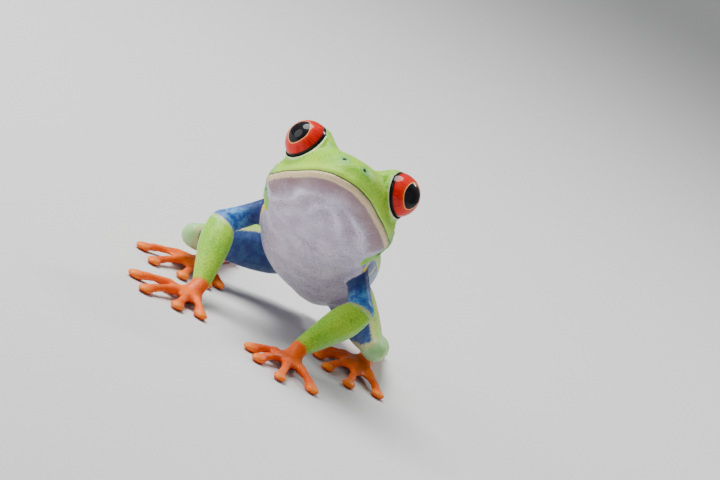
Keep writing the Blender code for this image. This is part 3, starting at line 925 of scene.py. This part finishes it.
def orangeShade(s, broad, wander):
    tip = s.number("tip")
    return s.tint(
        "orange", ("orangeDeepAndShade", broad, 0.35, 0.7, 0.4), ("orangePale", s.plus(tip, wander), 2.3, 1.2, 0.6),
        # painted shade in the digits' joint creases
        *(("orangeDeepAndShade", s.awayFrom(tip, joint), 0.16, 0.0, 0.22) for joint in digitPlan["joints"]),
        # painted shade on the undersides, where they face the floor
        ("orangeDeepAndShade", s.number("under"), 0.1, 0.8, 0.85),
    )


def lidShades(s, side):
    # the share of the pale rim of the lids, and of their dark inner face, at one eye
    gaze, top, _ = (tuple(axis) for axis in eyeAxes(side))
    out = s.vector("SUBTRACT", s.place(), tuple(eyeAt[side]))
    far = s.vector("LENGTH", out, output="Value")
    out = s.vector("NORMALIZE", out)
    facing = s.vector("DOT_PRODUCT", out, gaze, "Value")
    rise = s.math("MAXIMUM", s.vector("DOT_PRODUCT", out, top, "Value"), 0.0)
    sideways = s.minus(1.0, s.math("POWER", facing, 2.0))
    onTop = s.math("DIVIDE", s.math("POWER", rise, 2.0), sideways)
    edge = s.math("MULTIPLY_ADD", onTop, -radians(lidPlan["hood"]), radians(lidPlan["edge"]))
    past = s.minus(s.math("ARCCOSINE", facing), edge)
    behind = s.times(past, s.math("DIVIDE", far, mm))
    over = s.math("DIVIDE", s.minus(far, eyeRadius), mm)
    rim = s.times(s.ramp(behind, 0.16, 0.04), s.ramp(over, 0.8, 0.6))
    inner = s.times(s.ramp(behind, 0.06, -0.02), s.ramp(over, 0.28, 0.20))
    return rim, inner


def headDetails(s, colour, wander):
    # the mouth line, the creases and the nostrils, with painted shade in them, then the ear drums and the
    # lids
    nostril, ear = s.number("nostril"), s.number("ear")
    # the mouth line is painted shade along the mouth's groove
    line = s.ramp(s.math("ABSOLUTE", s.number("lip")), 0.16, 0.05, 0.9)
    colour = s.tint(
        s.mix(s.times(line, s.number("jaw")), colour, "shadeAndSpeckDark"),
        # painted shade in the mouth corners
        ("shadeAndSpeckDark", s.number("corner"), 0.75, 0.1, 0.85),
        # painted shade under the eyes
        ("greenDeepAndShade", s.number("underEye"), 0.7, 0.1, 0.6),
        # painted shadow beside the nostrils, and painted shade in them
        ("nostrilShadowTeal", s.plus(nostril, wander), 1.3, 0.5, 0.5), ("shadeAndSpeckDark", nostril, 0.42, 0.28),
        ("greenYellow", ear, 1.5, 0.9, 0.35), ("greenDeepAndShade", s.awayFrom(ear, 1.15), 0.3, 0.0, 0.45),
    )
    for side in sides:
        rim, inner = lidShades(s, side)
        colour = s.mix(inner, s.mix(rim, colour, "rim"), "lidInside")
    return colour


def skinMaterial():
    p = skinPattern
    s = Shader("frog_skin", skinColours)
    broad = s.noise(p["broad"])
    fine = s.noise(p["fine"], 2.0)
    wander = s.math("MULTIPLY_ADD", fine, 0.8, -0.4)  # makes the marks' edges uneven
    marked = s.plus(s.number("blue"), s.times(wander, 0.6))
    pale = s.number("pale")
    colour = s.tint(
        greenShade(s, broad, wander), ("cream", marked, -0.7, -0.15, 0.6),
        (blueShade(s, broad, wander), marked, -0.15, 0.15),
        (throatShade(s, broad, wander), s.plus(pale, s.times(wander, 0.5)), -0.2, 0.2),
        (orangeShade(s, broad, wander), s.plus(s.number("orange"), wander), -0.5, 0.5),
    )
    colour = headDetails(s, colour, wander)

    bare = s.ramp(pale, -0.2, 0.4)
    pebbles = s.minus(0.6, s.cells(p["pebbles"], "SMOOTH_F1"))
    pebbles = s.times(pebbles, s.math("MULTIPLY_ADD", bare, 0.8, 0.6))
    height = s.plus(pebbles, s.times(s.noise(p["grit"], 2.0), 0.35))
    rough = s.minus(s.ramp(fine, 0.3, 0.7, 0.52, 0.36), s.times(bare, 0.12))
    return s.set(
        Base_Color=colour, Roughness=rough, Normal=s.bump(height, 0.12 * mm, 0.8),
        Subsurface_Weight=0.16, Subsurface_Scale=1.2 * mm, Subsurface_Radius=(1.0, 0.6, 0.35),
        Coat_Weight=0.08, Coat_Roughness=0.28, IOR=1.42, Specular_IOR_Level=0.34,
    )


eyePlan = {
    "segments": 96, "rings": 64,
    "pupilAhead": 40.5, "pupilUp": 1.5,  # where the pupil looks, degrees
    "pupilWide": 29.5, "pupilTall": 37.0,  # its half sizes, degrees on the globe
    "pupilLean": 12.0, "pupilPoint": 1.75,  # its lean outwards, degrees, and its points (2 is an ellipse)
    "clear": 0.03,  # how far the globe stays inside its part, in mm
    "ring": (75.5, 78.0),  # the black ring begins here, degrees from the opening's middle
}

eyeColours = {
    "fibre": (0.52, 0.002, 0.001), "red": (0.80, 0.010, 0.002), "warm": (0.95, 0.07, 0.003),
    "outer": (0.28, 0.001, 0.0005), "pupilRim": (1.0, 0.50, 0.20), "pupil": (0.004, 0.004, 0.006),
    "ring": (0.006, 0.005, 0.008),
}


def eyeMaterial():
    s = Shader("wet_eye", eyeColours)
    radial = s.number("radial")  # 0 at the pupil's middle, 1 at its edge
    turn = s.node("UVMap", output="UV", uv_map="iris")
    stretched = s.node("Mapping", {"Vector": turn, "Scale": (46.0, 5.0, 1.0)})
    colour = s.tint(
        "fibre", ("red", s.noise(1.0, 4.0, 0.6, stretched), 0.3, 0.7), ("warm", radial, 1.45, 1.0, 0.45),
        ("outer", radial, 1.7, 2.3, 0.6), ("pupilRim", s.awayFrom(radial, 1.04), 0.05, 0.01),
        ("pupil", radial, 1.03, 0.98), ("ring", s.number("ring"), *eyePlan["ring"]),
    )
    return s.set(
        Base_Color=colour, Roughness=0.5, Coat_Weight=0.6, Coat_Roughness=0.02, Coat_IOR=1.38,
        Specular_IOR_Level=0.05,
    )


def makeEye(side, material):
    look = gazeOf(side, eyePlan["pupilAhead"], eyePlan["pupilUp"])
    lean = radians(eyePlan["pupilLean"] if side == "left" else -eyePlan["pupilLean"])
    tall = Matrix.Rotation(lean, 3, look) @ (headUp - look * headUp.dot(look)).normalized()
    wide = tall.cross(look)
    bm = bmesh.new()
    radius = eyeRadius - eyePlan["clear"] * mm
    bmesh.ops.create_uvsphere(bm, u_segments=eyePlan["segments"], v_segments=eyePlan["rings"], radius=radius)
    place = Matrix.Translation(eyeAt[side]) @ Matrix((wide, tall, look)).transposed().to_4x4()
    bmesh.ops.transform(bm, matrix=place, verts=bm.verts)
    mesh = meshFrom("globe_" + side, bm)

    out = pointsOf(mesh) - np.array(eyeAt[side])
    out /= lengthsOf(out)[:, None]
    angle = np.degrees(np.arccos(np.clip(out @ np.array(look), -1, 1)))
    spin = np.arctan2(out @ np.array(tall), out @ np.array(wide))
    power = eyePlan["pupilPoint"]
    edge = np.abs(np.cos(spin) / eyePlan["pupilWide"]) ** power
    edge += np.abs(np.sin(spin) / eyePlan["pupilTall"]) ** power
    addNumber(mesh, "radial", angle / edge ** (-1 / power))
    addNumber(mesh, "ring", np.degrees(np.arccos(np.clip(out @ np.array(gazeOf(side)), -1, 1))))
    layer = mesh.uv_layers.new(name="iris")
    spins, radii = spin / (2 * pi) + 0.5, angle / 180
    for poly in mesh.polygons:
        corners = [mesh.loops[k].vertex_index for k in poly.loop_indices]
        wrap = np.ptp(spins[corners]) > 0.5
        for k, vertex in zip(poly.loop_indices, corners):
            value = spins[vertex]
            layer.data[k].uv = (value + 1 if wrap and value < 0.5 else value, radii[vertex])
    mesh.shade_smooth()
    mesh.materials.append(material)
    globe = newObject("globe_" + side, mesh)
    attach(globe, "root")
    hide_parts("eye_" + side)


granulePlan = {"Spacing": 0.42 * mm, "Size": 0.25 * mm, "Seed": 4}
granuleShape = {
    "flat": 0.30, "sunk": 0.040 * mm,  # height against width, and how deep they sit in the skin
    "smallest": 0.65,  # size of the smallest, where the largest is 1
    "dense": 9.0,  # the most on a square millimetre
}
granuleColours = {
    "base": (0.62, 0.54, 0.72), "light": (0.86, 0.82, 0.95), "mauveAndShade": skinColours["mauveAndShade"],
}


def granuleMaterial():
    s = Shader("granule", granuleColours)
    clouds = s.noise(skinPattern["throatClouds"], 4.0, 0.6)
    colour = s.tint("base", ("light", clouds, 0.35, 0.66))
    band = s.ramp(s.number("inward"), 4.8, 1.2, 0.6)
    colour = s.mix(s.times(band, s.number("jaw")), colour, "mauveAndShade")
    return s.set(
        Base_Color=colour, Roughness=0.32, Subsurface_Weight=0.6, Subsurface_Scale=1.5 * mm,
        Subsurface_Radius=(1.0, 0.8, 0.8), Specular_IOR_Level=0.5,
    )


def granuleTree(material):
    # low beads strewn over the skin where its number "granular" says so
    tree = bpy.data.node_groups.new("granules", "GeometryNodeTree")
    tree.interface.new_socket("Geometry", in_out="INPUT", socket_type="NodeSocketGeometry")
    for name, kind in (("Spacing", "Float"), ("Size", "Float"), ("Seed", "Int")):
        tree.interface.new_socket(name, in_out="INPUT", socket_type="NodeSocket" + kind)
    tree.interface.new_socket("Geometry", in_out="OUTPUT", socket_type="NodeSocketGeometry")

    def add(kind, inputs=(), **settings):
        return addNode(tree, kind, inputs, **settings)

    given = add("NodeGroupInput")
    share = add("GeometryNodeInputNamedAttribute", {"Name": "granular"}, data_type="FLOAT")["Attribute"]
    inputs = {
        "Mesh": given["Geometry"], "Distance Min": given["Spacing"],
        "Density Max": granuleShape["dense"] / mm ** 2, "Density Factor": share, "Seed": given["Seed"],
    }
    strewn = add("GeometryNodeDistributePointsOnFaces", inputs, distribute_method="POISSON")
    bead = add("GeometryNodeMeshIcoSphere", {"Radius": given["Size"], "Subdivisions": 1})["Mesh"]
    inputs = {
        "Geometry": bead, "Scale": (1.0, 1.0, granuleShape["flat"]),
        "Translation": (0.0, 0.0, -granuleShape["sunk"]),
    }
    bead = add("GeometryNodeTransform", inputs)["Geometry"]
    inputs = {2: granuleShape["smallest"], 3: 1.0, "Seed": given["Seed"]}
    size = add("FunctionNodeRandomValue", inputs, data_type="FLOAT")[1]
    inputs = {"Points": strewn["Points"], "Instance": bead, "Rotation": strewn["Rotation"], "Scale": size}
    beads = add("GeometryNodeInstanceOnPoints", inputs)["Instances"]
    beads = add("GeometryNodeRealizeInstances", {"Geometry": beads})["Geometry"]
    beads = add("GeometryNodeSetShadeSmooth", {"Geometry": beads})["Geometry"]
    beads = add("GeometryNodeSetMaterial", {"Geometry": beads, "Material": material})["Geometry"]
    add("NodeGroupOutput", {"Geometry": beads})
    return tree


def makeGranules(skin):
    granules = newObject("granules", skin.data.copy())
    strew = granules.modifiers.new("granules", "NODES")
    strew.node_group = granuleTree(granuleMaterial())
    for item in strew.node_group.interface.items_tree:
        if item.in_out == "INPUT" and item.name in granulePlan:
            strew[item.identifier] = granulePlan[item.name]
    evaluated(granules)
    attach(granules, "root")
    print("granules:", len(granules.data.polygons), "facets")


stagePlan = {
    "width": 3.0, "front": 1.6, "back": 0.9, "bend": 0.5, "bendSteps": 16, "height": 1.6,
    "colours": {"paper": (0.70, 0.70, 0.69), "paperLight": (0.73, 0.73, 0.72)},
}


def makeStage():
    back, bend, steps = (stagePlan[k] for k in ("back", "bend", "bendSteps"))
    profile = [(-stagePlan["front"], 0.0), (back, 0.0)]
    for k in range(1, steps + 1):
        turn = pi / 2 * k / steps
        profile.append((back + bend * sin(turn), bend * (1 - cos(turn))))
    profile.append((back + bend, stagePlan["height"]))
    half = stagePlan["width"] / 2
    bm = bmesh.new()
    rows = [[bm.verts.new((x, y, z)) for x in (-half, half)] for y, z in profile]
    for low, high in zip(rows, rows[1:]):
        bm.faces.new((low[0], low[1], high[1], high[0]))
    mesh = meshFrom("floor", bm)
    mesh.shade_smooth()
    s = Shader("studio_paper", stagePlan["colours"])
    grain = s.noise(900.0)
    colour = s.tint("paper", ("paperLight", grain, 0.3, 0.7))
    mesh.materials.append(s.set(Base_Color=colour, Roughness=0.85, Normal=s.bump(grain, 0.05 * mm, 0.3)))
    newObject("floor", mesh)


viewPlan = {
    "azimuth": 8.0, "elevation": 10.0, "roll": 30.0, "distance": 0.62,
    "width": 115.2,  # of the view at the eyes, in mm
    "eyesAt": (-1.168, 11.408),  # the eyes' middle from the view's middle, right and up, in mm
}


def makeCamera():
    azimuth, elevation, roll = (radians(viewPlan[k]) for k in ("azimuth", "elevation", "roll"))
    back = Vector((sin(azimuth) * cos(elevation), -cos(azimuth) * cos(elevation), sin(elevation)))
    right = Vector((cos(azimuth), sin(azimuth), 0))
    up = back.cross(right)
    viewUp = up * cos(roll) - right * sin(roll)
    viewRight = right * cos(roll) + up * sin(roll)
    across, rise = (value * mm for value in viewPlan["eyesAt"])
    aim = betweenEyes - viewRight * across - viewUp * rise
    lens = bpy.data.cameras.new("camera")
    lens.sensor_width = 36.0
    lens.lens = viewPlan["distance"] * lens.sensor_width / (viewPlan["width"] * mm)
    lens.clip_start = 0.01
    camera = newObject("camera", lens)
    turn = Matrix((viewRight, viewUp, back)).transposed().to_4x4()
    camera.matrix_world = Matrix.Translation(aim + back * viewPlan["distance"]) @ turn
    bpy.context.scene.camera = camera


lightPlan = (
    # name, place, power, width, height
    ("skylight", (-0.29, 0.05, 0.56), 7.0, 0.45, 0.4),
    ("fill", (-0.60, -0.30, 0.24), 2.2, 0.5, 0.5),
    ("side", (0.60, -0.35, 0.30), 0.5, 0.9, 0.7),
    ("catch", (0.21, 0.39, 0.42), 1.0, 0.10, 0.14),
)
skyPlan = {"Color": (0.86, 0.89, 0.93, 1.0), "Strength": 0.22}


def makeLights():
    target = Vector((0, 0, 20 * mm))
    for name, place, power, wide, high in lightPlan:
        data = bpy.data.lights.new(name, "AREA")
        data.shape = "ELLIPSE"
        data.size, data.size_y, data.energy = wide, high, power
        lamp = newObject(name, data)
        turn = (target - Vector(place)).to_track_quat("-Z", "Y").to_matrix().to_4x4()
        lamp.matrix_world = Matrix.Translation(place) @ turn
    world = bpy.data.worlds.new("studio")
    world.use_nodes = True
    for name, value in skyPlan.items():
        world.node_tree.nodes["Background"].inputs[name].default_value = value
    bpy.context.scene.world = world


makeCamera()
makeStage()
makeLights()
print("camera, floor and lights are set")

skin = fuseSkin()
print("skin fused:", len(skin.data.polygons), "facets")
fillHollows(skin.data)
refineSkin(skin.data)
setPoints(skin.data, relax(pointsOf(skin.data), edgesOf(skin.data), 3))
shapeDigits(skin.data)
shapeJoints(skin.data)
nostrils, ears = shapeHead(skin.data)
hugGlobes(skin.data)
cutSockets(skin)
raiseLids(skin.data)
settleOnFloor(skin.data)
markSkin(skin.data, nostrils, ears)
skin.data.shade_smooth()
skin.data.materials.clear()
skin.data.materials.append(skinMaterial())
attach(skin, "root")
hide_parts(*fleshNames)
print("skin dressed:", sum(len(p.vertices) - 2 for p in skin.data.polygons), "triangles")

makeGranules(skin)

wetEye = eyeMaterial()
for side in sides:
    makeEye(side, wetEye)
print("eyes set")
